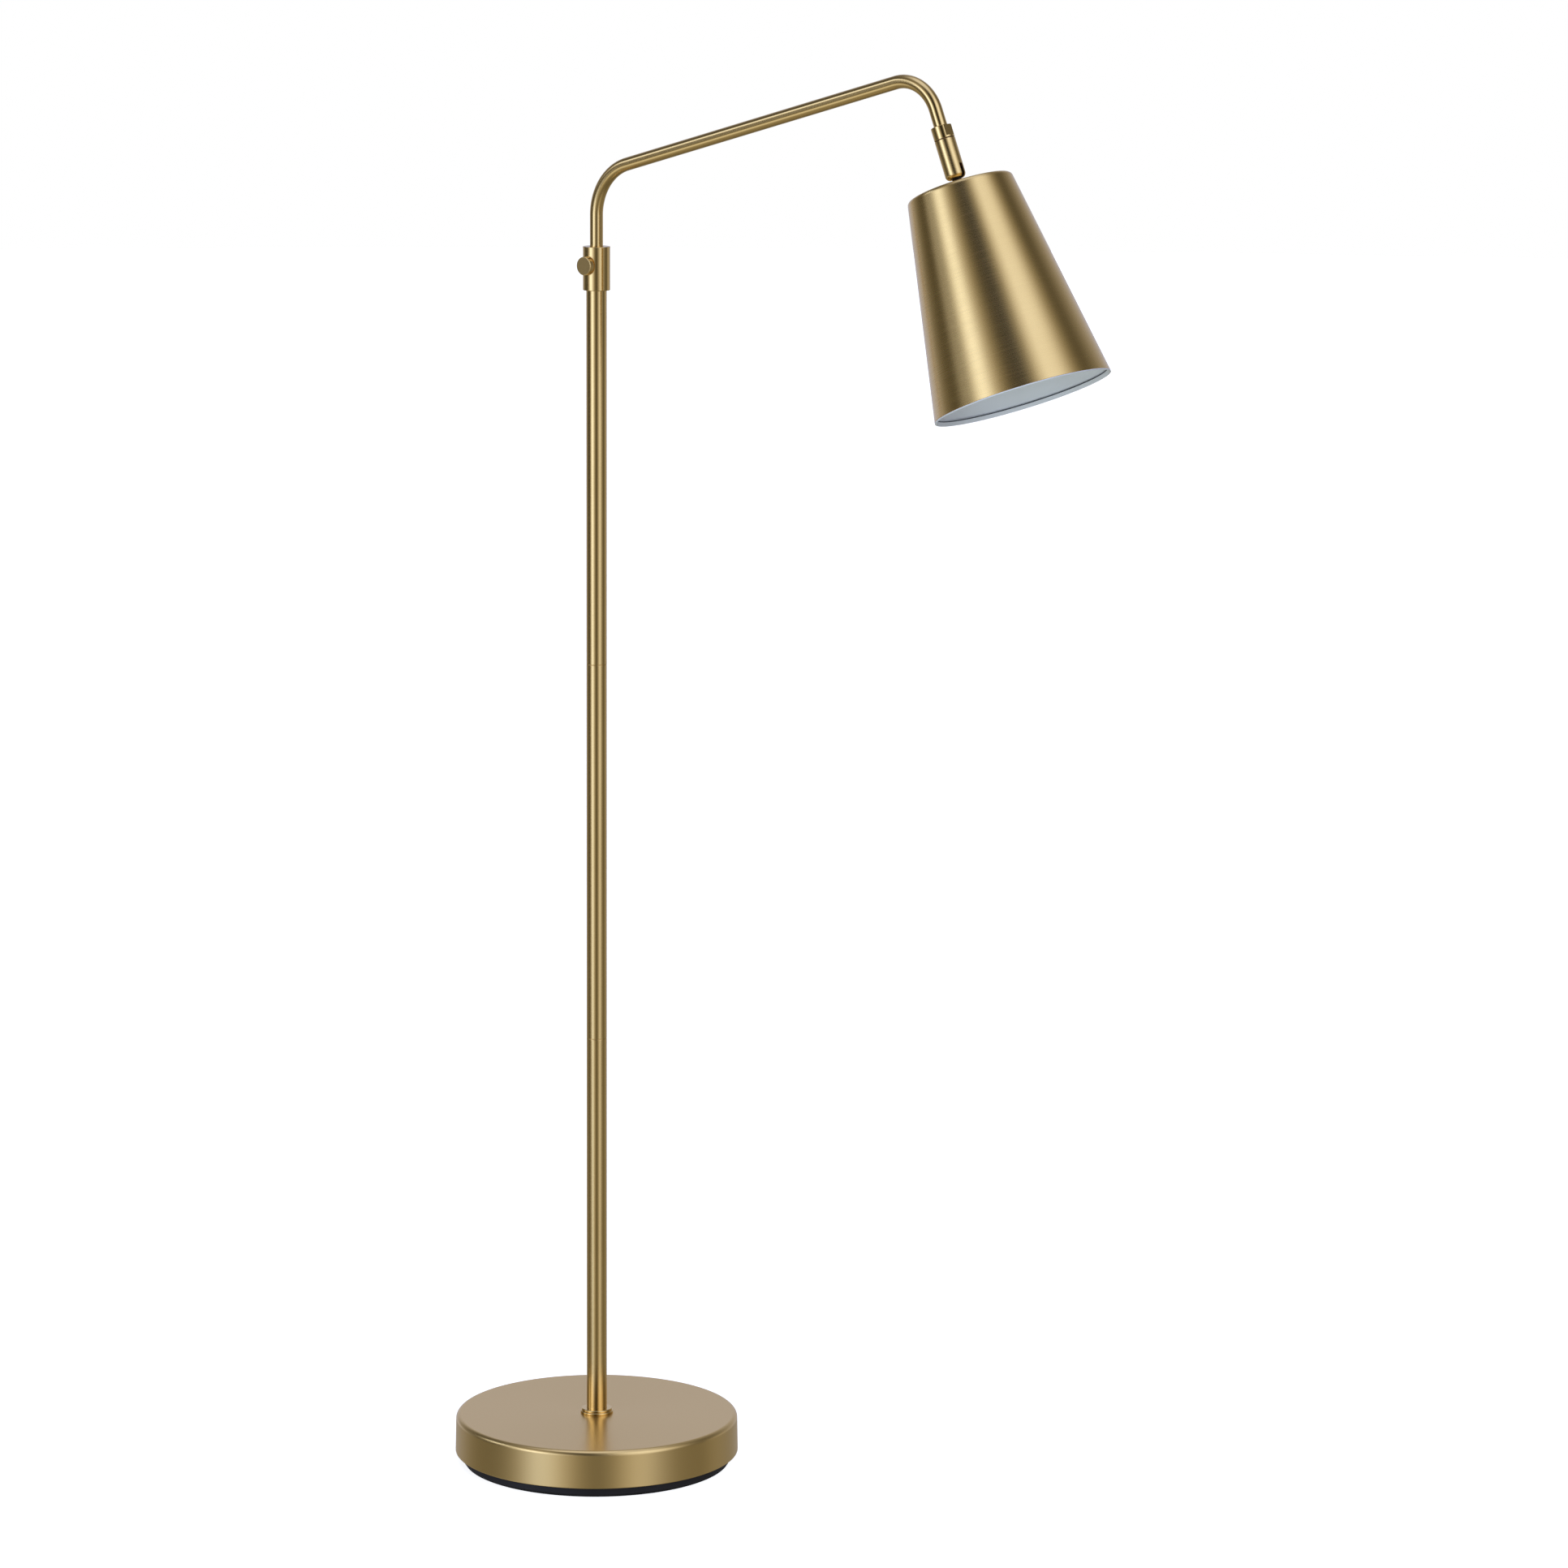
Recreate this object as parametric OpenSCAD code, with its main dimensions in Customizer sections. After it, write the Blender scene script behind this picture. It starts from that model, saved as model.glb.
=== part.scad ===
// Pharmacy floor lamp: weighted round base, three-piece pole, sliding and turning arm,
// swivel with a tilting conical shade. Millimetres. The floor is z = 0, the pole's axis
// is the Z axis, and the arm reaches out along +X.

/* [Base] */
// Outer diameter of the base cover at its lower edge
cover_d = 267; // [220:1:320]
// Outer diameter of the base cover at its top
cover_top_d = 265.6; // [218:0.1:319]
// Height of the base cover
cover_h = 35.4; // [25:0.1:50]
// Height of the cover's lower edge above the floor
cover_gap = 10; // [5:0.5:15]
// Radius of the cover's top edge
cover_edge_r = 4.5; // [2:0.5:10]
// Sheet thickness of the cover
cover_wall = 1.2; // [0.8:0.1:2]
// Diameter of the weight where it shows below the cover
weight_d = 254; // [200:1:260]
// Thickness of the shoulder of the weight that centres the cover
weight_shoulder_h = 5; // [3:0.5:14]
// Thickness of the floor pad
pad_t = 1.5; // [1:0.1:3]
// Diameter of the flange ring at the foot of the pole
flange_d = 30.7; // [26:0.1:40]
// Height of the flange ring
flange_h = 4.6; // [3:0.1:8]

/* [Pole] */
// Outer diameter of the pole
pole_d = 19; // [16:0.5:25]
// Wall thickness of the pole tubes
pole_wall = 1.2; // [1:0.1:1.4]
// Height of the pole's lower seam above the base
lower_seam_h = 362.1; // [300:0.1:460]
// Distance between the seams of the pole
tube_pitch = 353.5; // [300:0.5:450]
// Length of the upper tube between its seam and the collar
upper_tube_shown = 345.8; // [300:0.1:460]
// Length of each coupler inside the pole
coupler_len = 30; // [20:1:40]

/* [Collar] */
// Outer diameter of the collar
collar_d = 25.2; // [24:0.1:32]
// Height of the collar
collar_h = 40; // [36:0.5:60]
// Height of the thumb screw above the collar's lower edge
screw_height = 23; // [20:0.5:28]
// Diameter of the thumb screw's knob
knob_d = 17; // [12:0.5:24]
// Thickness of the knob
knob_t = 5; // [3:0.1:8]

/* [Arm] */
// Outer diameter of the arm tube
arm_d = 12; // [10:0.5:12]
// Wall thickness of the arm tube
arm_wall = 1; // [0.8:0.1:1.2]
// Height of the top of the straight rod, where its bend starts
rod_top_z = 1175.5; // [1170:0.5:1250]
// Length of the arm between its two bends
arm_straight = 318; // [200:1:450]
// Rise of the arm above the horizontal, in degrees
arm_rise = 15.5; // [5:0.5:30]
// Lean of the arm's end outwards from the vertical, in degrees
end_lean = 21.8; // [10:0.1:40]
// Bend radius between the rod and the arm
shoulder_r = 49.6; // [40:0.1:60]
// Bend radius at the end of the arm
elbow_r = 36.8; // [30:0.1:40]
// Length of the rod below the collar's lower edge
rod_insert = 322; // [250:1:326]

/* [Swivel] */
// Outer diameter of the swivel nut and barrel
swivel_d = 18.3; // [17:0.1:22]
// Distance from the end of the arm's last bend to the nut
nut_s = 15.4; // [13:0.1:30]
// Length of the nut
nut_h = 11.6; // [8:0.1:14]
// Size of the nut across its spanner flats
nut_flats = 14.5; // [14:0.1:17]
// Length of the barrel
barrel_h = 36; // [34:0.5:45]
// Depth of the slot in the barrel
slot_depth = 12.2; // [11:0.1:15]
// Width of the slot
slot_w = 4; // [2.6:0.1:4]

/* [Shade] */
// Outer diameter of the shade at its top
shade_top_d = 94; // [80:1:110]
// Outer diameter of the shade at its rim
shade_rim_d = 159.4; // [130:0.2:200]
// Length of the shade along its axis
shade_len = 192; // [170:1:230]
// Gap between the barrel and the shade
shade_gap = 7.6; // [7:0.1:12]
// Sheet thickness of the shade
shade_wall = 0.8; // [0.6:0.1:1.2]
// Radius of the shade's top edge
shade_edge_r = 4; // [2:0.5:8]
// Height of the folded hem inside the rim
hem_h = 3.4; // [2:0.1:6]
// Diameter of the bulb
bulb_d = 60; // [45:1:64]

/* [Hidden] */
$fn = 96;

fit = 0.05;             // radial clearance between fixed pieces
run = 0.08;             // radial clearance of a running fit
eps = 0.5;              // overrun of a cut past the face that it opens

// Base
cover_z = cover_gap;
cover_top = cover_z + cover_h;
cover_hole_r = 5.3;
weight_shoulder_d = cover_d - 2 * cover_wall - 1.6;
weight_shoulder_z = cover_z + 3;
weight_top = weight_shoulder_z + weight_shoulder_h;
weight_edge_r = 1;
weight_draft = 0.5;
pad_d = weight_d - 4;
recess_r = 26;
recess_h = 9.5;
recess_top = pad_t + recess_h;
nipple_r = 5;
nipple_bore_r = 3.6;
base_washer_r = 15;
base_washer_t = 1.6;
base_nut_h = 5;
base_nut_flats = 15;
inlet_z = cover_z + 19;
inlet_hole_r = 5.2;
inlet_bore_r = 3.2;
inlet_flange_r = 7;
inlet_out = 3.2;
inlet_in = 7;

// Pole
pole_r = pole_d / 2;
pole_bore_r = pole_r - pole_wall;
flange_floor = 1;
flange_step_z = 2.5;
pole_z = cover_top + flange_floor;
seam_1 = cover_top + lower_seam_h;
seam_2 = seam_1 + tube_pitch;
collar_z = seam_2 + upper_tube_shown;
tube_in_collar = 14;
foot_h = 22;
seam_chamfer = 0.35;
coupler_bore_r = 5.4;

// Collar and thumb screw
collar_r = collar_d / 2;
collar_top = collar_z + collar_h;
bush_r = pole_bore_r - fit;
bush_z = collar_z - 10;
bush_top = collar_top - 4;
screw_z = collar_z + screw_height;
screw_r = 3;
tip_r = 2.6;
tip_len = 2;
tip_spigot_r = 1.2;
tip_spigot_len = 2;
tip_face = arm_d / 2 + 0.1;
knob_gap = 0.7;
knob_back = collar_r + knob_gap;
knob_edge = 0.6;

// Arm
arm_r = arm_d / 2;
arm_bore_r = arm_r - arm_wall;
bend_swell = 0.02;      // the bent lengths' wall is thicker by this on each side, and
bend_lap = 0.3;         // the straight lengths run this far into it, so that all join as one
rod_end_z = collar_z - rod_insert;
clip_t = 1.2;
clip_r = 7.6;
guide_z = rod_end_z + 4;
guide_h = 12;
guide_gap = 0.2;
shoulder_turn = 90 - arm_rise;
elbow_turn = 90 + arm_rise - end_lean;
arm_end_s = nut_s + 7;

// Swivel, in distances s along the arm's end, from the end of its last bend
swivel_r = swivel_d / 2;
washer_t = 0.6;
barrel_s = nut_s + nut_h + washer_t;
barrel_end_s = barrel_s + barrel_h;
barrel_edge_r = 4.4;
flats_h = nut_h * 0.85;
core_s = nut_s - 6;
core_r = arm_bore_r - fit;
core_bore_r = 2.8;
core_end_s = barrel_s + 13;
core_room_s = barrel_s + 11;
core_room_end_s = barrel_s + 17;
core_room_r = 7;
core_clip_s = core_room_s + 0.3;
core_clip_r = 6.4;
wire_r = 1.3;
pivot_s = barrel_end_s - slot_depth / 2;
pivot_r = 2;
pivot_head_r = 3.5;
pivot_head_y = 5.4;
pivot_head_h = 2.2;
pivot_tip_y = 6;
driver_slot = 1;
tongue_t = slot_w - 1.2;
tongue_r = 4.9;
tongue_w = 8;
friction_washer_r = 4;
friction_washer_t = 0.45;

// Shade and lamp holder
shade_s = barrel_end_s + shade_gap;
shade_end_s = shade_s + shade_len;
boss_h = 3.2;
boss_r = 8;
boss_s = shade_s - boss_h;
shade_slope = (shade_rim_d - shade_top_d) / 2 / shade_len;
shade_nipple_end_s = shade_s + 12;
shade_washer_r = 12;
shade_washer_t = 1.2;
locknut_flats = 14;
locknut_h = 3;
cap_s = shade_s + shade_wall + shade_washer_t + locknut_h + 0.4;
cap_r = 19;
cap_wall = 0.8;
cap_h = 20;
holder_r = cap_r - cap_wall - fit;
holder_s = cap_s + cap_wall + fit;
holder_h = 46;
holder_floor = 9;
holder_bore_r = 14;
shell_r = 13.8;
shell_wall = 0.4;
shell_s = holder_s + holder_floor + 2;
shell_h = 30;
contact_s = holder_s + holder_floor + fit;
contact_t = 1.2;
contact_r = 4;
eyelet_s = contact_s + contact_t + fit;
eyelet_t = 2;
eyelet_r = 4.8;
bulb_cap_s = eyelet_s + eyelet_t + fit;
bulb_cap_r = 13.1;
bulb_cap_h = 24;
bulb_cap_wall = 0.5;
bulb_r = bulb_d / 2;
bulb_neck_r = bulb_cap_r - bulb_cap_wall - fit;
bulb_glass_s = bulb_cap_s + bulb_cap_h - 5;
bulb_neck_h = 16;        // the neck stays narrow until it is clear of the holder
bulb_centre_s = bulb_glass_s + 56;
bulb_wall = 1;

// A ring or disc between two heights, with a bore
module ring(z0, z1, r_out, r_in) {
  translate([0, 0, z0]) difference() {
    cylinder(r = r_out, h = z1 - z0);
    translate([0, 0, -eps]) cylinder(r = r_in, h = z1 - z0 + 2 * eps);
  }
}

// A hexagon nut between two heights, measured across its flats
module hex_nut(z0, h, flats, bore_r) {
  translate([0, 0, z0]) difference() {
    cylinder(r = flats / 2 / cos(30), h = h, $fn = 6);
    translate([0, 0, -eps]) cylinder(r = bore_r, h = h + 2 * eps);
  }
}

// A straight pole tube with small chamfers at its ends, which meet as a fine groove
module pole_tube(z0, z1) {
  rotate_extrude() polygon([
    [pole_bore_r, z0],
    [pole_r - seam_chamfer, z0],
    [pole_r, z0 + seam_chamfer],
    [pole_r, z1 - seam_chamfer],
    [pole_r - seam_chamfer, z1],
    [pole_bore_r, z1]
  ]);
}

// Moves its children from the start of a bend to its end: +Z turns towards +X
module after_bend(bend_r, turn) {
  translate([bend_r * (1 - cos(turn)), 0, bend_r * sin(turn)]) rotate([0, turn, 0]) children();
}

// Places its children at the start of the arm's straight length, with +Z pointing along it
module on_arm() {
  translate([0, 0, rod_top_z]) after_bend(shoulder_r, shoulder_turn) children();
}

// Places its children on the axis of the arm's end, s past its last bend, with +Z pointing down it
module hang(s = 0) {
  on_arm() translate([0, 0, arm_straight]) after_bend(elbow_r, elbow_turn) translate([0, 0, s]) children();
}

// Lays its children's +Z axis along +Y at the pivot
module at_pivot() {
  hang(pivot_s) rotate([-90, 0, 0]) children();
}

// Section of the base cover, set in from its outside by the given amount
module cover_section(inset) {
  corner_r = cover_top_d / 2 - cover_edge_r;
  corner_z = cover_top - cover_edge_r;
  polygon([
    [0, cover_z - (inset > 0 ? eps : 0)],
    [cover_d / 2 - inset, cover_z - (inset > 0 ? eps : 0)],
    [cover_top_d / 2 - inset, corner_z],
    [corner_r, corner_z],
    [corner_r, cover_top - inset],
    [0, cover_top - inset]
  ]);
  translate([corner_r, corner_z]) circle(r = cover_edge_r - inset);
}

module floor_pad() {
  color("dimgray") cylinder(r = pad_d / 2, h = pad_t);
}

module base_weight() {
  color("#232124") difference() {
    rotate_extrude() {
      foot_r = weight_d / 2 - weight_draft - weight_edge_r;
      polygon([
        [0, pad_t],
        [foot_r, pad_t],
        [foot_r, pad_t + weight_edge_r],
        [weight_d / 2 - weight_draft, pad_t + weight_edge_r],
        [weight_d / 2, weight_shoulder_z],
        [weight_shoulder_d / 2, weight_shoulder_z],
        [weight_shoulder_d / 2, weight_top],
        [0, weight_top]
      ]);
      translate([foot_r, pad_t + weight_edge_r]) circle(r = weight_edge_r);
    }
    translate([0, 0, pad_t - eps]) cylinder(r = recess_r, h = recess_h + eps);
    translate([0, 0, pad_t]) cylinder(r = nipple_r + fit, h = weight_top);
  }
}

module base_cover() {
  color("#a98f5a") difference() {
    rotate_extrude() difference() {
      cover_section(0);
      cover_section(cover_wall);
    }
    translate([0, 0, cover_top - 2 * cover_wall]) cylinder(r = cover_hole_r, h = 4 * cover_wall);
    translate([-cover_d / 2 + 8, 0, inlet_z]) rotate([0, -90, 0]) cylinder(r = inlet_hole_r, h = 20);
  }
}

module base_washer() {
  color("silver") ring(recess_top - base_washer_t, recess_top, base_washer_r, nipple_r + fit);
}

module base_nut() {
  color("silver") hex_nut(recess_top - base_washer_t - base_nut_h, base_nut_h, base_nut_flats, nipple_r + fit);
}

module base_nipple() {
  color("silver") ring(recess_top - base_washer_t - base_nut_h - 1, pole_z + foot_h - 4, nipple_r, nipple_bore_r);
}

module base_flange() {
  step_z = cover_top + flange_step_z;
  top_z = cover_top + flange_h;
  groove = 0.7;
  step_r = flange_d / 2 - 1;
  color("#a98f5a") rotate_extrude() polygon([
    [nipple_r + 0.3, cover_top],
    [flange_d / 2 - 0.3, cover_top],
    [flange_d / 2, cover_top + 0.5],
    [flange_d / 2, step_z - 0.8],
    [flange_d / 2 - 0.3, step_z - 0.3],
    [step_r - groove, step_z],
    [step_r, step_z + 0.4],
    [step_r, top_z - 0.8],
    [step_r - 0.8, top_z],
    [pole_r + fit, top_z],
    [pole_r + fit, pole_z],
    [nipple_r + 0.3, pole_z]
  ]);
}

module cable_bushing() {
  color("#222222") translate([-cover_d / 2, 0, inlet_z]) rotate([0, -90, 0]) rotate_extrude() polygon([
    [inlet_bore_r, -inlet_in],
    [inlet_hole_r + 0.8, -inlet_in],
    [inlet_hole_r + 0.8, -cover_wall - 1],
    [inlet_hole_r - fit, -cover_wall - 1],
    [inlet_hole_r - fit, 0.2],
    [inlet_flange_r, 0.2],
    [inlet_flange_r, inlet_out - 1],
    [inlet_flange_r - 1, inlet_out],
    [inlet_bore_r, inlet_out]
  ]);
}

module pole_foot() {
  color("silver") ring(pole_z, pole_z + foot_h, pole_bore_r - fit, nipple_r + fit);
}

module lower_tube() {
  color("#b89a62") pole_tube(pole_z, seam_1);
}

module middle_tube() {
  color("#b89a62") pole_tube(seam_1, seam_2);
}

module upper_tube() {
  color("#b89a62") pole_tube(seam_2, collar_z + tube_in_collar);
}

module lower_coupler() {
  color("silver") ring(seam_1 - coupler_len / 2, seam_1 + coupler_len / 2, pole_bore_r - fit, coupler_bore_r);
}

module upper_coupler() {
  // sits low in the joint, clear of the foot of the rod
  color("silver") ring(seam_2 - coupler_len / 2, seam_2 + coupler_len / 2 - 3, pole_bore_r - fit, coupler_bore_r);
}

module collar() {
  edge = 0.5;
  color("#b89a62") difference() {
    rotate_extrude() polygon([
      [pole_r + fit, collar_z],
      [collar_r - edge, collar_z],
      [collar_r, collar_z + edge],
      [collar_r, collar_top - edge],
      [collar_r - edge, collar_top],
      [arm_r + 0.4, collar_top],
      [arm_r + 0.4, bush_top + fit],
      [bush_r + fit, bush_top + fit],
      [bush_r + fit, collar_z + tube_in_collar + fit],
      [pole_r + fit, collar_z + tube_in_collar + fit]
    ]);
    translate([0, -7, screw_z]) rotate([90, 0, 0]) cylinder(r = screw_r + run, h = 10);
  }
}

module collar_bush() {
  color("white") difference() {
    ring(bush_z, bush_top, bush_r, arm_r + run);
    translate([0, 0, screw_z]) rotate([90, 0, 0]) cylinder(r = screw_r + 0.3, h = 10);
  }
}

module screw_tip() {
  color("white") translate([0, 0, screw_z]) rotate([90, 0, 0]) {
    translate([0, 0, tip_face]) cylinder(r = tip_r, h = tip_len);
    translate([0, 0, tip_face + tip_len - 0.2]) cylinder(r = tip_spigot_r, h = tip_spigot_len + 0.2);
  }
}

module thumb_screw() {
  shank_y = tip_face + tip_len + fit;
  hole_y = shank_y + tip_spigot_len + 0.4;
  color("#a98f5a") translate([0, 0, screw_z]) rotate([90, 0, 0]) rotate_extrude() polygon([
    [tip_spigot_r + run, shank_y],
    [screw_r - 0.4, shank_y],
    [screw_r, shank_y + 0.4],
    [screw_r, knob_back],
    [knob_d / 2 - knob_edge, knob_back],
    [knob_d / 2, knob_back + knob_edge],
    [knob_d / 2, knob_back + knob_t - knob_edge],
    [knob_d / 2 - knob_edge, knob_back + knob_t],
    [0, knob_back + knob_t],
    [0, hole_y],
    [tip_spigot_r + run, hole_y]
  ]);
}

module rod_guide() {
  color("white") ring(guide_z, guide_z + guide_h, pole_bore_r - run, arm_r + run);
}

module rod_clips() {
  color("silver") {
    ring(guide_z - guide_gap - clip_t, guide_z - guide_gap, clip_r, arm_r + 0.02);
    ring(guide_z + guide_h + guide_gap, guide_z + guide_h + guide_gap + clip_t, clip_r, arm_r + 0.02);
  }
}

// A bend of the arm tube that starts along +Z and turns towards +X
module tube_bend(bend_r, turn) {
  translate([bend_r, 0, 0]) rotate([90, 0, 0]) rotate([0, 0, 180 - turn])
    rotate_extrude(angle = turn) translate([bend_r, 0]) difference() {
      circle(r = arm_r + bend_swell);
      circle(r = arm_bore_r - bend_swell);
    }
}

module arm_tube() {
  color("#b89a62") {
    ring(rod_end_z, rod_top_z + bend_lap, arm_r, arm_bore_r);
    translate([0, 0, rod_top_z]) tube_bend(shoulder_r, shoulder_turn);
    on_arm() ring(-bend_lap, arm_straight + bend_lap, arm_r, arm_bore_r);
    on_arm() translate([0, 0, arm_straight]) tube_bend(elbow_r, elbow_turn);
    hang() ring(-bend_lap, arm_end_s, arm_r, arm_bore_r);
  }
}

module swivel_nut() {
  color("#a98f5a") difference() {
    hang(nut_s) cylinder(r = swivel_r, h = nut_h);
    hang(nut_s - eps) cylinder(r = arm_r + fit, h = arm_end_s - nut_s + eps + fit);
    hang(nut_s) cylinder(r = core_r + fit, h = nut_h + eps);
    for (side = [-1, 1])
      hang(nut_s - eps) translate([side * (nut_flats / 2 + swivel_r), 0, 0])
        translate([-swivel_r, -swivel_r, 0]) cube([2 * swivel_r, 2 * swivel_r, flats_h + eps]);
  }
}

module swivel_core() {
  color("silver") hang() ring(core_s, core_end_s, core_r, core_bore_r);
}

module swivel_washer() {
  color("#222222") hang() ring(nut_s + nut_h, nut_s + nut_h + washer_t - run, swivel_r - 0.5, core_r + fit);
}

module swivel_clip() {
  color("silver") hang() ring(core_clip_s, core_clip_s + 1.2, core_clip_r, core_r + 0.02);
}

module swivel_barrel() {
  color("#b89a62") difference() {
    hang() rotate_extrude() {
      edge_z = barrel_end_s - barrel_edge_r;
      polygon([
        [0, barrel_s],
        [swivel_r - 0.3, barrel_s],
        [swivel_r, barrel_s + 0.3],
        [swivel_r, edge_z],
        [swivel_r - barrel_edge_r, edge_z],
        [swivel_r - barrel_edge_r, barrel_end_s],
        [0, barrel_end_s]
      ]);
      translate([swivel_r - barrel_edge_r, edge_z]) circle(r = barrel_edge_r);
    }
    hang(barrel_s - eps) cylinder(r = core_r + run, h = core_room_s - barrel_s + 2 * eps);
    hang(core_room_s) cylinder(r = core_room_r, h = core_room_end_s - core_room_s);
    hang(core_room_s) cylinder(r = wire_r, h = barrel_h - 11);
    hang(barrel_end_s - slot_depth) translate([-swivel_r - eps, -slot_w / 2, 0])
      cube([2 * swivel_r + 2 * eps, slot_w, slot_depth + eps]);
    at_pivot() translate([0, 0, -pivot_tip_y - 0.2]) cylinder(r = pivot_r + fit, h = pivot_tip_y + swivel_r);
    at_pivot() translate([0, 0, pivot_head_y]) cylinder(r = pivot_head_r + 0.1, h = swivel_r);
  }
}

module pivot_screw() {
  color("#a98f5a") at_pivot() difference() {
    union() {
      translate([0, 0, -pivot_tip_y]) cylinder(r = pivot_r, h = pivot_tip_y + pivot_head_y + 0.5);
      translate([0, 0, pivot_head_y]) cylinder(r = pivot_head_r, h = pivot_head_h);
    }
    translate([-pivot_head_r - eps, -driver_slot / 2, pivot_head_y + pivot_head_h - 1])
      cube([2 * pivot_head_r + 2 * eps, driver_slot, 1 + eps]);
  }
}

module friction_washers() {
  color("#222222") at_pivot() {
    gap = (slot_w / 2 - tongue_t / 2 - friction_washer_t) / 2;
    for (side = [-1, 1]) {
      middle = side * (tongue_t / 2 + gap + friction_washer_t / 2);
      ring(middle - friction_washer_t / 2, middle + friction_washer_t / 2, friction_washer_r, pivot_r + fit);
    }
  }
}

module shade_tongue() {
  color("#a98f5a") difference() {
    union() {
      at_pivot() translate([0, 0, -tongue_t / 2]) cylinder(r = tongue_r, h = tongue_t);
      hang(pivot_s) translate([-tongue_w / 2, -tongue_t / 2, 0])
        cube([tongue_w, tongue_t, boss_s - pivot_s + eps]);
      hang(boss_s) cylinder(r = boss_r, h = boss_h);
    }
    at_pivot() translate([0, 0, -tongue_t]) cylinder(r = pivot_r + run, h = 2 * tongue_t);
    hang(boss_s + 1.2) cylinder(r = nipple_r + fit, h = boss_h);
  }
}

module shade_nipple() {
  color("silver") hang() ring(boss_s + 1.3, shade_nipple_end_s, nipple_r, nipple_bore_r);
}

// Section of the shade's sheet: a flat top, a rounded edge, a cone and a hem folded inwards
module shade_section(inset) {
  top_r = shade_top_d / 2 - shade_edge_r;
  edge_s = shade_s + shade_edge_r;
  far = shade_end_s + (inset > 0 ? eps : 0);
  polygon([
    [0, shade_s + inset],
    [top_r, shade_s + inset],
    [top_r, edge_s],
    [shade_top_d / 2 + shade_slope * shade_edge_r - inset, edge_s],
    [shade_top_d / 2 + shade_slope * (far - shade_s) - inset, far],
    [0, far]
  ]);
  translate([top_r + shade_slope * shade_edge_r, edge_s]) circle(r = shade_edge_r - inset);
}

module shade() {
  rim_r = shade_rim_d / 2 - shade_wall;
  color("#b89a62") difference() {
    hang() rotate_extrude() {
      difference() {
        shade_section(0);
        shade_section(shade_wall);
      }
      polygon([
        [rim_r + 0.1, shade_end_s],
        [rim_r - shade_wall, shade_end_s],
        [rim_r - shade_wall - shade_slope * hem_h, shade_end_s - hem_h],
        [rim_r + 0.1 - shade_slope * hem_h, shade_end_s - hem_h]
      ]);
    }
    hang(shade_s - eps) cylinder(r = nipple_r + 0.2, h = shade_wall + 2 * eps);
  }
}

module shade_washer() {
  color("silver") hang(shade_s + shade_wall) ring(0, shade_washer_t, shade_washer_r, nipple_r + fit);
}

module shade_locknut() {
  color("silver") hang(shade_s + shade_wall + shade_washer_t) hex_nut(0, locknut_h, locknut_flats, nipple_r + fit);
}

module holder_cap() {
  color("silver") hang(cap_s) difference() {
    cylinder(r = cap_r, h = cap_h);
    translate([0, 0, cap_wall]) cylinder(r = cap_r - cap_wall, h = cap_h);
    translate([0, 0, -eps]) cylinder(r = nipple_r + fit, h = 3 * eps + cap_wall);
  }
}

module holder_body() {
  color("white") hang(holder_s) difference() {
    cylinder(r = holder_r, h = holder_h);
    translate([0, 0, holder_floor]) cylinder(r = holder_bore_r, h = holder_h);
    translate([0, 0, -eps]) cylinder(r = nipple_r + 0.5, h = holder_floor - 2);
    translate([8, 0, -eps]) cylinder(r = 1.5, h = holder_floor + 2 * eps);
  }
}

module screw_shell() {
  color("#c9a860") hang() ring(shell_s, shell_s + shell_h, shell_r, shell_r - shell_wall);
}

module centre_contact() {
  color("#c9a860") hang() ring(contact_s, contact_s + contact_t, contact_r, 0.8);
}

module bulb_cap() {
  color("silver") hang() difference() {
    ring(bulb_cap_s, bulb_cap_s + bulb_cap_h, bulb_cap_r, bulb_cap_r - bulb_cap_wall);
  }
  color("silver") hang() ring(bulb_cap_s, bulb_cap_s + 1, bulb_cap_r, 3);
}

module bulb_contact() {
  color("silver") hang(eyelet_s) cylinder(r = eyelet_r, h = eyelet_t);
}

// Section of the bulb's glass, set in by the given amount: a neck that widens into a ball
module bulb_section(inset) {
  blend_s = bulb_centre_s - bulb_r * 0.5;
  blend_r = bulb_r * cos(30);
  bottom = bulb_glass_s - (inset > 0 ? eps : 0);
  polygon([
    [0, bottom],
    [bulb_neck_r - inset, bottom],
    [bulb_neck_r - inset, bulb_glass_s + bulb_neck_h],
    [blend_r - inset, blend_s],
    [0, bulb_centre_s]
  ]);
  intersection() {
    translate([0, bulb_centre_s]) circle(r = bulb_r - inset);
    translate([0, bulb_centre_s - bulb_r]) square([bulb_r, 2 * bulb_r]);
  }
}

module bulb_glass() {
  color("white") hang() rotate_extrude() difference() {
    bulb_section(0);
    bulb_section(bulb_wall);
  }
}

floor_pad();
base_weight();
base_cover();
base_washer();
base_nut();
base_nipple();
base_flange();
cable_bushing();
pole_foot();
lower_tube();
lower_coupler();
middle_tube();
upper_coupler();
upper_tube();
collar();
collar_bush();
screw_tip();
thumb_screw();
rod_guide();
rod_clips();
arm_tube();
swivel_nut();
swivel_core();
swivel_washer();
swivel_clip();
swivel_barrel();
pivot_screw();
friction_washers();
shade_tongue();
shade_nipple();
shade();
shade_washer();
shade_locknut();
holder_cap();
holder_body();
screw_shell();
centre_contact();
bulb_cap();
bulb_contact();
bulb_glass();
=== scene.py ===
"""Pharmacy floor lamp in satin and brushed brass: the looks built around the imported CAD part.

Lengths in the shape functions are millimetres; they become metres as a mesh is made.
"""

import math

import bpy
import numpy as np
from mathutils import Matrix, Vector


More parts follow.
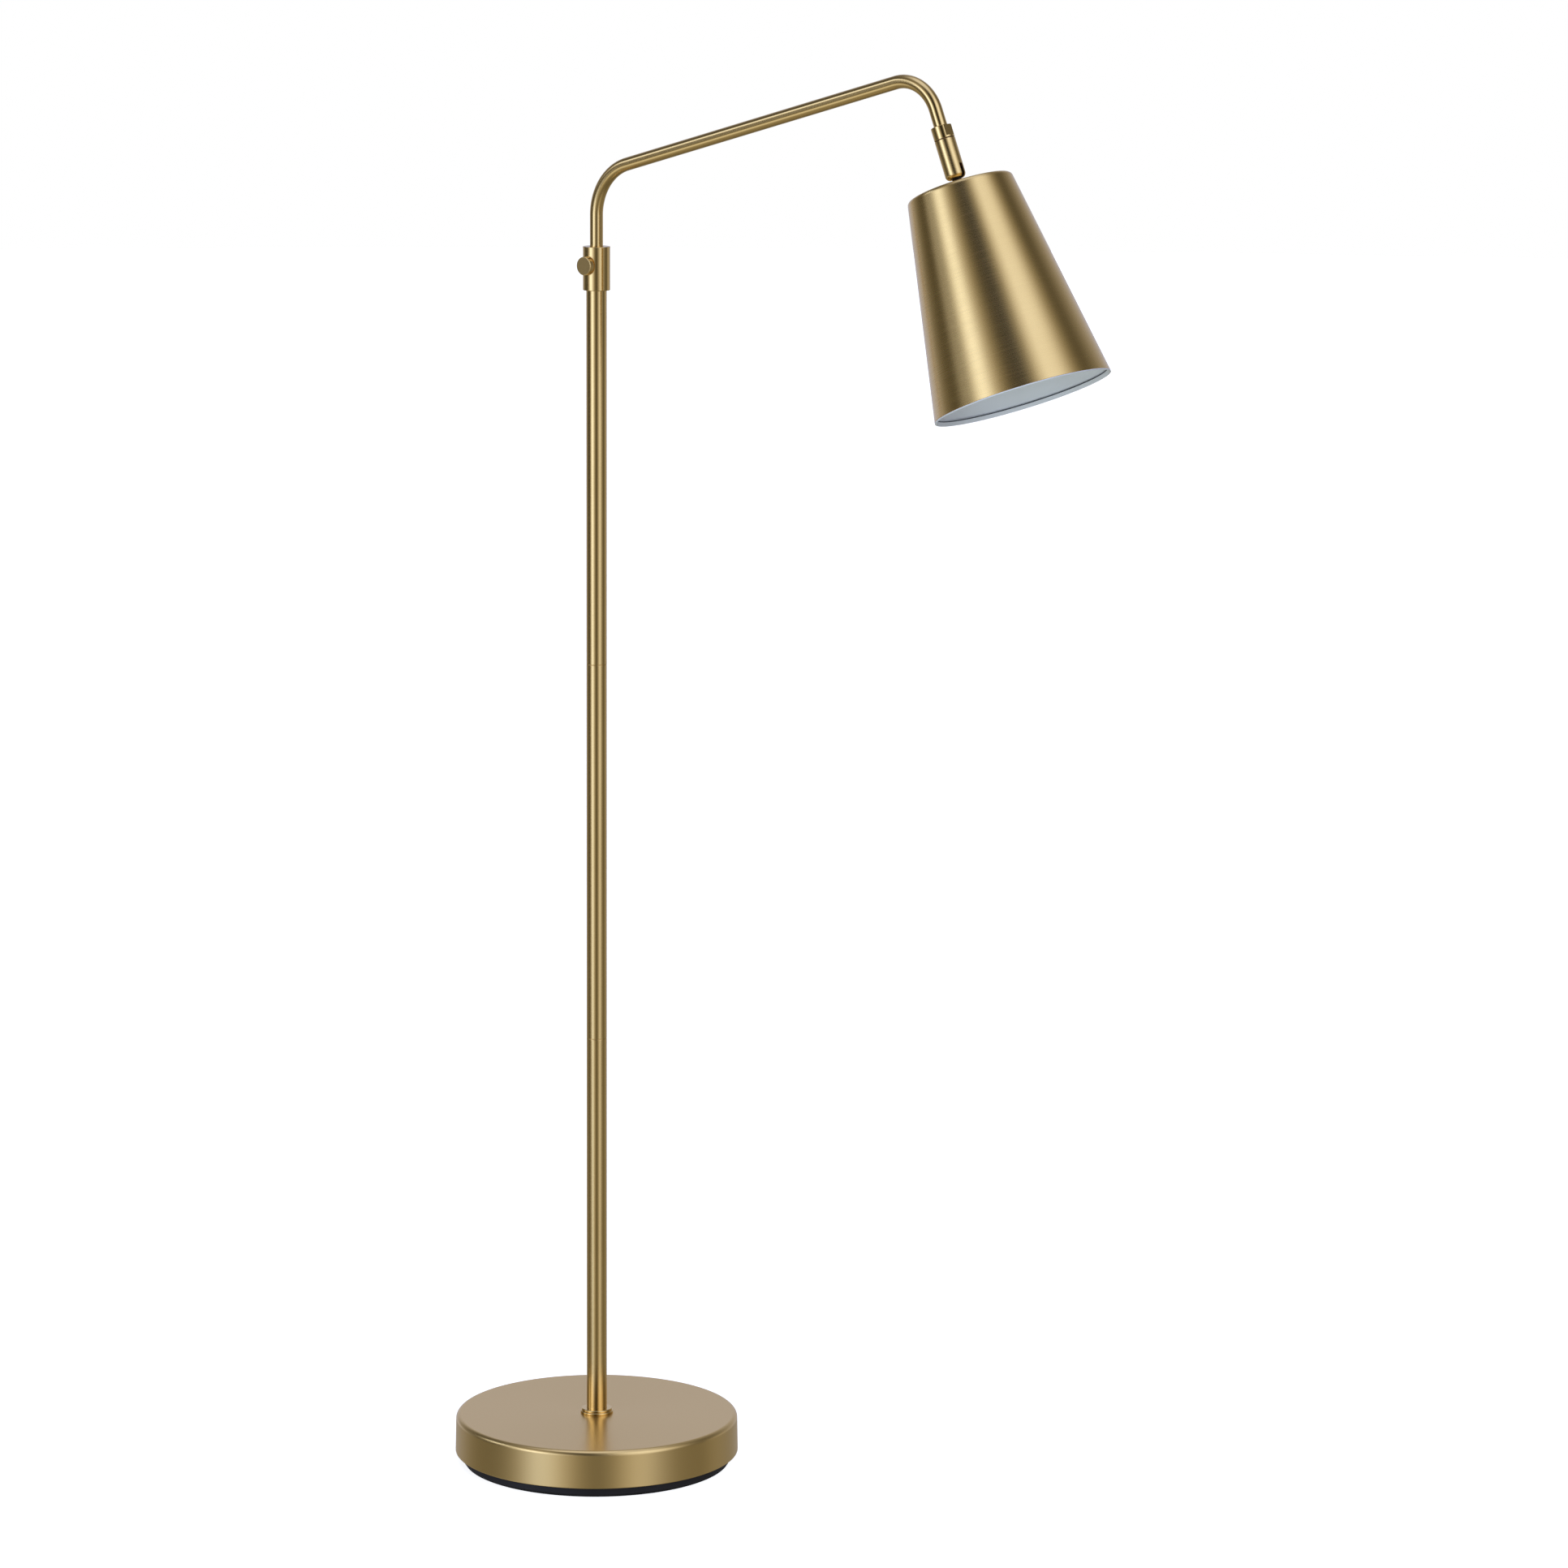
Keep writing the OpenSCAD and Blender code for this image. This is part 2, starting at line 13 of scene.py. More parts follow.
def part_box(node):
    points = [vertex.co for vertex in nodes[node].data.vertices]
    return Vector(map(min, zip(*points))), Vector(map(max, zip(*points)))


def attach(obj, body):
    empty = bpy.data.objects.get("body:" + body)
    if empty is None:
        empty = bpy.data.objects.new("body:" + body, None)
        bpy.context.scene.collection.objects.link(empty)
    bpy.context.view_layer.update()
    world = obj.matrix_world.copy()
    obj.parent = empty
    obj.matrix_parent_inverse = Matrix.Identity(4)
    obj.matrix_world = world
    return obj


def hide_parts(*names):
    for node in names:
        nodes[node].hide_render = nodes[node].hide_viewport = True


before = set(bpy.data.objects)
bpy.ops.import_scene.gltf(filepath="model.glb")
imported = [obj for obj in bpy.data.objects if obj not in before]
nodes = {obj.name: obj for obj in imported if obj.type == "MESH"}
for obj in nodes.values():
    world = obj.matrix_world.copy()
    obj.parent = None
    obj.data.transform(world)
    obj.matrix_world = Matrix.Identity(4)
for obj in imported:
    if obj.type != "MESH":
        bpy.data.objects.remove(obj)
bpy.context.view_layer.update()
MM = 0.001

# ---------------------------------------------------------------- camera

VIEW_AZIMUTH = math.radians(38.561)
VIEW_ELEVATION = math.radians(9.935)
VIEW_ROLL = math.radians(0.306)
VIEW_FROM = (3.4513, -4.0505, 1.5808)
LENS = 133.59
SENSOR = 36


def place_camera():
    """A long lens 5.3 m from the lamp.

    Its axes are back, which points away from the lamp, right, and up = back x right. Right and up are
    then rolled a little about back.
    """
    back = Vector((
        math.sin(VIEW_AZIMUTH) * math.cos(VIEW_ELEVATION),
        -math.cos(VIEW_AZIMUTH) * math.cos(VIEW_ELEVATION),
        math.sin(VIEW_ELEVATION),
    ))
    right = Vector((math.cos(VIEW_AZIMUTH), math.sin(VIEW_AZIMUTH), 0))
    up = back.cross(right)
    rolled_right = right * math.cos(VIEW_ROLL) + up * math.sin(VIEW_ROLL)
    rolled_up = up * math.cos(VIEW_ROLL) - right * math.sin(VIEW_ROLL)
    turn = Matrix((rolled_right, rolled_up, back)).transposed().to_4x4()
    data = bpy.data.cameras.new("camera")
    data.lens = LENS
    data.sensor_width = SENSOR
    data.sensor_fit = "HORIZONTAL"
    data.clip_start = 0.1
    data.clip_end = 100
    camera = bpy.data.objects.new("camera", data)
    camera.matrix_world = Matrix.Translation(VIEW_FROM) @ turn
    bpy.context.scene.collection.objects.link(camera)
    bpy.context.scene.camera = camera


place_camera()

# ---------------------------------------------------------------- shapes

CREASE = math.radians(35)
TURN_WIDTH = 0.02
SEAM_JUMP = 0.06


def rounded(corners, radii, steps=6, hold=0.12):
    """Profile of (distance, radius) points whose corners are arcs.

    A corner between unit directions u and v, with half angle h between them, has its arc's ends at
    r / tan h from the corner and its centre at r / sin h along the bisector. The arc sweeps pi - 2h
    between the two ends by spherical blending. A point held just outside each end of the arc keeps
    the flat beside it flat when it is shaded smooth.
    """
    corner = np.array(corners, float)
    radius = np.broadcast_to(np.array(radii, float), len(corner))[:, None]
    u = np.roll(corner, 1, 0) - corner
    v = np.roll(corner, -1, 0) - corner
    u /= np.linalg.norm(u, axis=1, keepdims=True)
    v /= np.linalg.norm(v, axis=1, keepdims=True)
    half = np.arccos(np.clip((u * v).sum(1, keepdims=True), -1, 1)) / 2
    start = corner + u * radius / np.tan(half)
    end = corner + v * radius / np.tan(half)
    bisector = (u + v) / np.maximum(np.linalg.norm(u + v, axis=1, keepdims=True), 1e-9)
    centre = corner + bisector * radius / np.sin(half)
    sweep = np.maximum(np.pi - 2 * half, 1e-6)[:, :, None]
    t = np.linspace(0, 1, steps + 1)[None, :, None]
    from_start = (start - centre)[:, None, :] * np.sin((1 - t) * sweep)
    from_end = (end - centre)[:, None, :] * np.sin(t * sweep)
    arc = centre[:, None, :] + (from_start + from_end) / np.sin(sweep)
    before = (start + u * hold)[:, None, :]
    after = (end + v * hold)[:, None, :]
    points = np.concatenate([before, arc, after], 1).reshape(-1, 2)
    points[:, 1] = np.maximum(points[:, 1], 0)
    gap = np.linalg.norm(points - np.roll(points, 1, 0), axis=1)
    return points[gap > 1e-4]


def open_rounded(corners, radii, **options):
    """As rounded, for a profile that starts and ends on the axis: its two end points stay sharp."""
    points = rounded(corners, radii, **options)
    inside = points[points[:, 1] > 1e-6]
    return np.vstack([corners[0], inside, corners[-1]])


def straight(origin, direction, across):
    """A straight axis whose point at distance s is origin + s x direction.

    Across and beside are square to it and to each other.
    """
    origin, direction, across = (np.array(v, float) for v in (origin, direction, across))
    beside = np.cross(direction, across)

    def line(s):
        ones = np.ones((len(s), 1))
        return origin + s[:, None] * direction, ones * across, ones * beside

    return line


def grid_mesh(name, points, lay, loops_back):
    """A closed mesh from a grid of points, rows along the profile and columns around the axis.

    Columns join round; rows join back to the first one if the profile is a loop. A row that has
    shrunk to a point becomes one vertex with a fan of triangles. The faces are turned over if the
    volume under them, the sum of a . (b x c) / 6 over their triangles, comes out negative. The UV
    map lengthwise is (length along the profile, TURN_WIDTH x angle round the axis), so its U runs
    across the brush marks. Corners that a face has past the seam are moved on by a whole turn.
    """
    rows, columns = points.shape[:2]
    index = np.arange(rows * columns).reshape(rows, columns)
    pole = np.linalg.norm(points - points[:, :1], axis=2).max(1) < 1e-9
    index[pole] = index[pole][:, :1]
    a = index if loops_back else index[:-1]
    b = np.roll(index, -1, 0)[: len(a)]
    quads = np.stack([a, np.roll(a, -1, 1), np.roll(b, -1, 1), b], -1).reshape(-1, 4)
    flat_a = quads[:, 0] == quads[:, 1]
    flat_b = quads[:, 2] == quads[:, 3]
    whole = quads[~flat_a & ~flat_b]
    fans = np.vstack([quads[flat_a & ~flat_b][:, [0, 2, 3]], quads[flat_b & ~flat_a][:, [0, 1, 2]]])
    used, renumbered = np.unique(np.concatenate([whole.ravel(), fans.ravel()]), return_inverse=True)
    whole = renumbered[: whole.size].reshape(-1, 4)
    fans = renumbered[whole.size :].reshape(-1, 3)
    at = points.reshape(-1, 3)[used] * MM
    triangles = np.vstack([whole[:, [0, 1, 2]], whole[:, [0, 2, 3]], fans])
    first, second, third = at[triangles.T]
    if (first * np.cross(second, third)).sum() < 0:
        whole, fans = whole[:, ::-1], fans[:, ::-1]
    mesh = bpy.data.meshes.new(name)
    mesh.from_pydata(at.tolist(), [], whole.tolist() + fans.tolist())
    own = lay.reshape(-1, 3)[used] * MM
    mesh.attributes.new("lay", "FLOAT_VECTOR", "POINT").data.foreach_set("vector", own.ravel())
    corner = np.empty(len(mesh.loops), int)
    mesh.loops.foreach_get("vertex_index", corner)
    flat = np.stack([own[corner, 2], np.arctan2(own[corner, 1], own[corner, 0]) * TURN_WIDTH], -1)
    starts = np.empty(len(mesh.polygons), int)
    mesh.polygons.foreach_get("loop_start", starts)
    widest = np.maximum.reduceat(flat[:, 1], starts)
    sizes = np.diff(np.append(starts, len(corner)))
    behind = np.repeat(widest, sizes) - flat[:, 1] > SEAM_JUMP
    flat[behind, 1] += 2 * np.pi * TURN_WIDTH
    mesh.uv_layers.new(name="lengthwise").data.foreach_set("uv", flat.ravel())
    mesh.polygons.foreach_set("use_smooth", np.ones(len(mesh.polygons), bool))
    mesh.set_sharp_from_angle(angle=CREASE)
    mesh.validate()
    piece = bpy.data.objects.new(name, mesh)
    bpy.context.scene.collection.objects.link(piece)
    return piece


def turned(name, profile, line, around=96, flats=None):
    """A profile carried round an axis.

    At distance s and angle t the surface is centre(s) + r (across(s) cos t + beside(s) sin t), where
    r is the profile's radius, or the distance flats(s) / |cos t| to a pair of spanner flats where
    that is less.

    The vertex attribute lay holds (r cos t, r sin t, length along the profile), the piece's own
    straightened coordinates, which the brush marks follow.
    """
    s, r = profile.T
    turn = np.linspace(0, 2 * np.pi, around, endpoint=False)
    reach = np.repeat(r[:, None], around, 1)
    if flats is not None:
        reach = np.minimum(reach, flats(s)[:, None] / np.maximum(np.abs(np.cos(turn)), 1e-6))
    centre, across, beside = line(s)
    cos, sin = np.cos(turn)[None, :, None], np.sin(turn)[None, :, None]
    out = across[:, None, :] * cos + beside[:, None, :] * sin
    points = centre[:, None, :] + reach[:, :, None] * out
    along = np.concatenate([[0], np.cumsum(np.linalg.norm(np.diff(profile, axis=0), axis=1))])
    lay = np.stack([reach * np.cos(turn), reach * np.sin(turn), np.repeat(along[:, None], around, 1)], -1)
    return grid_mesh(name, points, lay, loops_back=r[0] > 1e-6)


def bit_profile(radius, length):
    """Profile of a plain round bit."""
    return np.array([(0, 0), (0, radius), (length, radius), (length, 0)], float)


def drilled(piece, bit):
    """Takes the bit's shape out of the piece and throws the bit away."""
    cut = piece.modifiers.new("hole", "BOOLEAN")
    cut.operation = "DIFFERENCE"
    cut.solver = "EXACT"
    cut.object = bit
    bpy.context.view_layer.update()
    done = bpy.data.meshes.new_from_object(piece.evaluated_get(bpy.context.evaluated_depsgraph_get()))
    piece.modifiers.clear()
    piece.data = done
    done.set_sharp_from_angle(angle=CREASE)
    bpy.data.objects.remove(bit)
    return piece


def fitted(piece, body, slot, *replaced):
    """Fixes a piece to its body and stands it in for the CAD nodes."""
    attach(piece, body)
    if replaced:
        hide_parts(*replaced)
    return piece


# ---------------------------------------------------------------- the lamp's own lines

UPRIGHT = straight((0, 0, 0), (0, 0, 1), (1, 0, 0))
SHOULDER_R = 49.6
ELBOW_R = 36.8
ARM_STRAIGHT = 318
ARM_TURN = math.radians(74.5)
END_TURN = math.radians(158.2)
ROD_TOP = 1175.5
ROD_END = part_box("arm_tube")[0].z / MM
SHOULDER_LEN = SHOULDER_R * ARM_TURN
ELBOW_LEN = ELBOW_R * (END_TURN - ARM_TURN)
SHOULDER_S = ROD_TOP - ROD_END
ARM_S = SHOULDER_S + SHOULDER_LEN
ELBOW_S = ARM_S + ARM_STRAIGHT
END_S = ELBOW_S + ELBOW_LEN


def arm_line(s):
    """Centre line of the bent arm, from the rod's lower end: rod, bend, arm, bend, end.

    Its heading h turns from upright by (part of the bend done) / (bend radius). Each length adds its
    own share to the point: a straight one adds length x (sin h, cos h), and a bend of radius R from
    h0 to h adds R (cos h0 - cos h, sin h - sin h0). Across is (cos h, -sin h) and beside is Y.
    """
    shoulder = np.clip(s - SHOULDER_S, 0, SHOULDER_LEN) / SHOULDER_R
    elbow = np.clip(s - ELBOW_S, 0, ELBOW_LEN) / ELBOW_R
    rod = np.minimum(s, SHOULDER_S)
    arm = np.clip(s - ARM_S, 0, ARM_STRAIGHT)
    end = np.maximum(s - END_S, 0)
    heading = shoulder + elbow
    x = (
        SHOULDER_R * (1 - np.cos(shoulder))
        + arm * math.sin(ARM_TURN)
        + ELBOW_R * (math.cos(ARM_TURN) - np.cos(ARM_TURN + elbow))
        + end * math.sin(END_TURN)
    )
    z = (
        ROD_END + rod
        + SHOULDER_R * np.sin(shoulder)
        + arm * math.cos(ARM_TURN)
        + ELBOW_R * (np.sin(ARM_TURN + elbow) - math.sin(ARM_TURN))
        + end * math.cos(END_TURN)
    )
    zero = np.zeros_like(s)
    centre = np.stack([x, zero, z], -1)
    across = np.stack([np.cos(heading), zero, -np.sin(heading)], -1)
    return centre, across, np.stack([zero, zero + 1, zero], -1)


def hanging(s):
    """The axis of the arm's end, swivel and shade: arm_line measured from the end of the last bend."""
    return arm_line(s + END_S)


# ---------------------------------------------------------------- brass pieces

BASE_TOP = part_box("base_cover")[1].z / MM
COVER_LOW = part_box("base_cover")[0].z / MM
COVER_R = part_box("base_cover")[1].x / MM
COVER_TOP_R = 132.8
COVER_SHEET = 1.2
COVER_EDGE_R = 4.5
HOLE_R = 5.3
INLET_Z = sum(corner.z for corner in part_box("cable_bushing")) / 2 / MM
INLET_R = 5.2


def base_shell():
    """The spun cover: a thin sheet with a flat top, a rolled edge and a nearly upright side."""
    inside_top = BASE_TOP - COVER_SHEET
    profile = rounded(
        [(BASE_TOP, HOLE_R), (BASE_TOP, COVER_TOP_R), (COVER_LOW, COVER_R),
         (COVER_LOW, COVER_R - COVER_SHEET), (inside_top, COVER_TOP_R - COVER_SHEET), (inside_top, HOLE_R)],
        [0.2, COVER_EDGE_R, 0.5, 0.4, COVER_EDGE_R - COVER_SHEET, 0.2], steps=12)
    shell = turned("base_shell", profile, UPRIGHT, around=288)
    inlet = straight((-COVER_R + 8, 0, INLET_Z), (-1, 0, 0), (0, 1, 0))
    return drilled(shell, turned("inlet_bit", bit_profile(INLET_R, 20), inlet, around=64))


POLE_R = 9.5
POLE_BORE_R = 8.3
POLE_HOLE_R = 9.55
FLANGE_H = 4.6
LOWER_RING_R = 15.35
LOWER_RING_H = 2.3
GROOVE_R = 13.65
UPPER_RING_R = 14.35


def pole_flange():
    """Two stacked polished rings round the pole's foot, with a fine groove between them."""
    step = BASE_TOP + LOWER_RING_H
    top = BASE_TOP + FLANGE_H
    profile = rounded(
        [(BASE_TOP, POLE_HOLE_R), (BASE_TOP, LOWER_RING_R), (step, LOWER_RING_R), (step + 0.2, GROOVE_R),
         (step + 0.4, UPPER_RING_R), (top, UPPER_RING_R), (top, POLE_HOLE_R)],
        [0.1, 0.4, 0.7, 0.1, 0.1, 0.8, 0.1])
    return turned("flange_rings", profile, UPRIGHT, around=128)


def pole_length(name, low, high):
    """One length of the pole: a tube whose small end rounds meet the next one's as a fine groove."""
    profile = rounded(
        [(low, POLE_BORE_R), (low, POLE_R), (high, POLE_R), (high, POLE_BORE_R)], [0.1, 0.4, 0.4, 0.1])
    return turned(name, profile, UPRIGHT)


COLLAR_R = 12.6
COLLAR_LIP = 3.95
COLLAR_SOCKET = 14.05
ROD_HOLE_R = 6.4
BUSH_HOLE_R = 8.3
SCREW_Z = sum(corner.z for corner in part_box("thumb_screw")) / 2 / MM
SCREW_HOLE_R = 3.08


def collar_ring():
    """The collar on the pole's top: a socket for the tube, a bore for the bush, a lip round the rod and
    a hole for the screw."""
    low, high = (corner.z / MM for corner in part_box("collar"))
    lip = high - COLLAR_LIP
    stop = low + COLLAR_SOCKET
    profile = rounded(
        [(low, POLE_HOLE_R), (low, COLLAR_R), (high, COLLAR_R), (high, ROD_HOLE_R), (lip, ROD_HOLE_R),
         (lip, BUSH_HOLE_R), (stop, BUSH_HOLE_R), (stop, POLE_HOLE_R)],
        [0.2, 0.5, 0.5, 0.3, 0.05, 0.05, 0.05, 0.05])
    ring = turned("collar_ring", profile, UPRIGHT, around=128)
    screw = straight((0, -7, SCREW_Z), (0, -1, 0), (1, 0, 0))
    return drilled(ring, turned("screw_bit", bit_profile(SCREW_HOLE_R, 10), screw, around=48))


SHANK_END = 8.15
SHANK_R = 3
TIP_HOLE_END = 10.55
TIP_HOLE_R = 1.28
KNOB_BACK = 13.3
KNOB_FACE = 18.3
KNOB_R = 8.5


def thumb_knob():
    """The clamping screw: a flat round knob on a plain shank that is hollow for its nylon tip."""
    axis = straight((0, 0, SCREW_Z), (0, -1, 0), (1, 0, 0))
    profile = open_rounded(
        [(TIP_HOLE_END, 0), (TIP_HOLE_END, TIP_HOLE_R), (SHANK_END, TIP_HOLE_R), (SHANK_END, SHANK_R),
         (KNOB_BACK, SHANK_R), (KNOB_BACK, KNOB_R), (KNOB_FACE, KNOB_R), (KNOB_FACE, 0)],
        [0, 0.05, 0.05, 0.4, 0.1, 0.5, 0.7, 0], steps=8)
    return turned("thumb_knob", profile, axis)


ARM_R = 6
ARM_BORE_R = 5
ARM_IN_NUT = 22.4
BEND_STEPS = 44


def bent_arm():
    """The arm tube, from inside the pole over both bends to inside the swivel nut.

    A row of points just outside each end and each bend keeps the straight beside it straight.
    """
    s = np.concatenate([
        [0, 0.2, SHOULDER_S - 0.5],
        np.linspace(SHOULDER_S, ARM_S, BEND_STEPS),
        [ARM_S + 0.5, ELBOW_S - 0.5],
        np.linspace(ELBOW_S, END_S, BEND_STEPS),
        [END_S + 0.5, END_S + ARM_IN_NUT - 0.2, END_S + ARM_IN_NUT],
    ])
    outside = np.stack([s, np.full_like(s, ARM_R)], -1)
    inside = np.stack([s, np.full_like(s, ARM_BORE_R)], -1)[::-1]
    return turned("bent_arm", np.vstack([outside, inside]), arm_line)


NUT_S = 15.4
NUT_END = 27.0
NUT_R = 9.15
ARM_HOLE_R = 6.05
CORE_HOLE_R = 5
ARM_STOP = NUT_S + 7.1
FLATS_END = NUT_S + (NUT_END - NUT_S) * 0.85
HALF_FLATS = 7.25


def flats_reach(s):
    """Distance of the nut's spanner flats from its axis: past their end it has none."""
    return np.where(s <= FLATS_END + 1e-6, HALF_FLATS, np.inf)


def spanner_nut():
    """The swivel nut: round, with a pair of spanner flats over most of its height."""
    profile = rounded(
        [(NUT_S, ARM_HOLE_R), (NUT_S, NUT_R), (FLATS_END, NUT_R), (NUT_END, NUT_R), (NUT_END, CORE_HOLE_R),
         (ARM_STOP, CORE_HOLE_R), (ARM_STOP, ARM_HOLE_R)],
        [0.1, 0.5, 0, 0.3, 0.05, 0.05, 0.05])
    return turned("spanner_nut", profile, hanging, around=180, flats=flats_reach)


SHADE_S = 71.2
SHADE_END = 263.2
TOP_R = 47
RIM_R = 79.7
SLOPE = (RIM_R - TOP_R) / (SHADE_END - SHADE_S)
NIPPLE_HOLE = 5.2
SKIN = 0.45
WALL = 0.8
BEAD = 1.0
RIM_COAT = 0.15
HEM = 3.4
HEM_IN = 1.8
HEM_GAP = 1.3
HEM_FOLD = 0.9
SHADOW_LINE_H = 0.9


def cone(s, inset=0.0):
    """Point of the shade's sheet at distance s, set in from its outside."""
    return (s, TOP_R + SLOPE * (s - SHADE_S) - inset)


def shade_skin():
    """The shade's brass: a flat top, a rounded shoulder and a cone down to a thin rounded rim."""
    profile = rounded(
        [(SHADE_S, NIPPLE_HOLE), cone(SHADE_S), cone(SHADE_END - BEAD), cone(SHADE_END - BEAD, SKIN),
         cone(SHADE_S + SKIN, SKIN), (SHADE_S + SKIN, NIPPLE_HOLE)],
        [0.1, 4, 0.3, 0.1, 3.5, 0.1], steps=10)
    return turned("shade_skin", profile, hanging, around=288)


def shade_lining():
    """The white coat inside the shade and round its rim.

    The rim's sheet is folded in as a hem whose free edge leaves a fine gap.
    """
    bead = SHADE_END - BEAD
    fold = SHADE_END - HEM_FOLD
    lip = SHADE_END - HEM
    profile = rounded(
        [(SHADE_S + SKIN, NIPPLE_HOLE), cone(SHADE_S + SKIN, SKIN), cone(bead, SKIN), cone(bead, RIM_COAT),
         cone(SHADE_END, RIM_COAT), cone(SHADE_END, HEM_IN), cone(lip, HEM_IN), cone(lip, HEM_GAP),
         cone(fold, HEM_GAP), cone(fold, WALL), cone(SHADE_S + WALL, WALL), (SHADE_S + WALL, NIPPLE_HOLE)],
        [0.05, 3.5, 0.02, 0.02, 0.25, 0.4, 0.1, 0.1, 0.1, 0.1, 3.2, 0.05], steps=8, hold=0.04)
    return turned("shade_lining", profile, hanging, around=288)


def hem_shadow_ring():
    """A thin ring just above the folded hem, 0.1 mm proud of its inner face, that carries a painted shadow
    line: the shade in the crevice between hem and wall.
    """
    high = SHADE_END - HEM
    low = high - SHADOW_LINE_H
    profile = rounded(
        [cone(low, HEM_GAP), cone(high, HEM_GAP), cone(high, HEM_IN + 0.1), cone(low, HEM_IN + 0.1)],
        0.1, hold=0.04)
    return turned("hem_shadow_ring", profile, hanging, around=288)


BULB_CENTRE = 164.8
BULB_R = 30
NECK_R = 12.5
NECK_S = 108.8
NECK_END = 124.8
FLARE_TURN = math.radians(30)


def opal_bulb():
    """The bulb: a straight neck, a flare and a ball.

    The flare is the Hermite curve from the neck's end, level, to the point of the ball where its
    surface slopes by FLARE_TURN.
    """
    meet_s = BULB_CENTRE - BULB_R * math.sin(FLARE_TURN)
    meet_r = BULB_R * math.cos(FLARE_TURN)
    run = meet_s - NECK_END
    t = np.linspace(0, 1, 24)
    flare_r = (
        (2 * t**3 - 3 * t**2 + 1) * NECK_R
        + (3 * t**2 - 2 * t**3) * meet_r
        + (t**3 - t**2) * run * math.tan(FLARE_TURN)
    )
    flare = np.stack([NECK_END + t * run, flare_r], -1)
    ball_turn = np.linspace(math.pi / 2 - FLARE_TURN, math.pi, 48)[1:]
    ball = np.stack([BULB_CENTRE - BULB_R * np.cos(ball_turn), BULB_R * np.sin(ball_turn)], -1)
    ball[-1, 1] = 0
    neck = np.array([(NECK_S, 0), (NECK_S, NECK_R - 0.6), (NECK_S + 0.6, NECK_R), (NECK_S + 6, NECK_R)])
    return turned("opal_bulb", np.vstack([neck, flare, ball]), hanging, around=128)


pole_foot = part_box("lower_tube")[0].z / MM
seam_1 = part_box("lower_tube")[1].z / MM
seam_2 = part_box("middle_tube")[1].z / MM
pole_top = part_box("upper_tube")[1].z / MM
cover = fitted(base_shell(), "stand", "satin_brass", "base_cover")
flange = fitted(pole_flange(), "stand", "brushed_brass", "base_flange")
lower = fitted(pole_length("pole_lower", pole_foot, seam_1), "stand", "brushed_brass", "lower_tube")
middle = fitted(pole_length("pole_middle", seam_1, seam_2), "stand", "brushed_brass", "middle_tube")
upper = fitted(pole_length("pole_upper", seam_2, pole_top), "stand", "brushed_brass", "upper_tube")
collar = fitted(collar_ring(), "stand", "brushed_brass", "collar")
knob = fitted(thumb_knob(), "thumb_screw", "satin_brass", "thumb_screw")
arm = fitted(bent_arm(), "arm", "brushed_brass", "arm_tube")
nut = fitted(spanner_nut(), "arm", "brushed_brass", "swivel_nut")
skin = fitted(shade_skin(), "shade", "satin_brass", "shade")
lining = fitted(shade_lining(), "shade", "white_enamel")
# A grey ring whose colour is painted shade: the shadow line of the crevice above the hem.
edge = fitted(hem_shadow_ring(), "shade", "zinc_steel")
bulb = fitted(opal_bulb(), "shade", "frosted_glass", "bulb_glass")

# ---------------------------------------------------------------- materials


def linear(hex_colour):
    """Linear RGBA of an sRGB hex colour."""
    value = np.array([int(hex_colour[i : i + 2], 16) for i in (1, 3, 5)]) / 255
    low = value / 12.92
    high = ((value + 0.055) / 1.055) ** 2.4
    return (*np.where(value <= 0.04045, low, high).tolist(), 1.0)


def add(tree, kind, inputs=None, **settings):
    """Adds a node with its settings; inputs gives each socket a value or another node's output."""
    node = tree.nodes.new(kind)
    for name, value in settings.items():
        setattr(node, name, value)
    for key, value in (inputs or {}).items():
        if isinstance(value, bpy.types.NodeSocket):
            tree.links.new(value, node.inputs[key])
        else:
            node.inputs[key].default_value = value
    return node


def finish(name, colours, grain, rough, relief, shader, patch, brushed=False):
    """A surface whose colour drifts between two tones in broad patches and whose roughness and relief
    follow a fine grain.

    grain is the size in metres of a mark across X, Y and Z, rough the least and the most roughness,
    relief the depth of the marks in metres, shader the values that are the same all over and patch the
    size in metres of a patch of tone. The marks of a brushed finish follow the piece's own straightened
    coordinates, lay, and its highlights are spread across them. Others follow its Object coordinates.
    """
    material = bpy.data.materials.new(name)
    material.use_nodes = True
    tree = material.node_tree
    tree.nodes.clear()
    if brushed:
        place = add(tree, "ShaderNodeAttribute", attribute_name="lay").outputs["Vector"]
    else:
        place = add(tree, "ShaderNodeTexCoord").outputs["Object"]
    marks = add(tree, "ShaderNodeMapping", {"Vector": place, "Scale": [1 / size for size in grain]})
    fine = add(tree, "ShaderNodeTexNoise", {
        "Vector": marks.outputs[0], "Scale": 1.0, "Detail": 4.0, "Roughness": 0.6})
    broad = add(tree, "ShaderNodeTexNoise", {
        "Vector": place, "Scale": 1 / patch, "Detail": 2.0, "Roughness": 0.5})
    level = add(tree, "ShaderNodeMapRange", {
        "Value": fine.outputs[0], "From Min": 0.3, "From Max": 0.7, "To Min": rough[0], "To Max": rough[1]})
    tone = add(tree, "ShaderNodeValToRGB", {"Fac": broad.outputs[0]})
    tone.color_ramp.elements[0].position = 0.35
    tone.color_ramp.elements[0].color = linear(colours[0])
    tone.color_ramp.elements[1].position = 0.65
    tone.color_ramp.elements[1].color = linear(colours[1])
    bump = add(tree, "ShaderNodeBump", {"Height": fine.outputs[0], "Strength": 1.0, "Distance": relief})
    surface = add(tree, "ShaderNodeBsdfPrincipled", {
        "Base Color": tone.outputs[0], "Roughness": level.outputs[0], "Normal": bump.outputs[0], **shader})
    if brushed:
        across_marks = add(tree, "ShaderNodeTangent", direction_type="UV_MAP", uv_map="lengthwise")
        tree.links.new(across_marks.outputs[0], surface.inputs["Tangent"])
    add(tree, "ShaderNodeOutputMaterial", {"Surface": surface.outputs[0]})
    return material


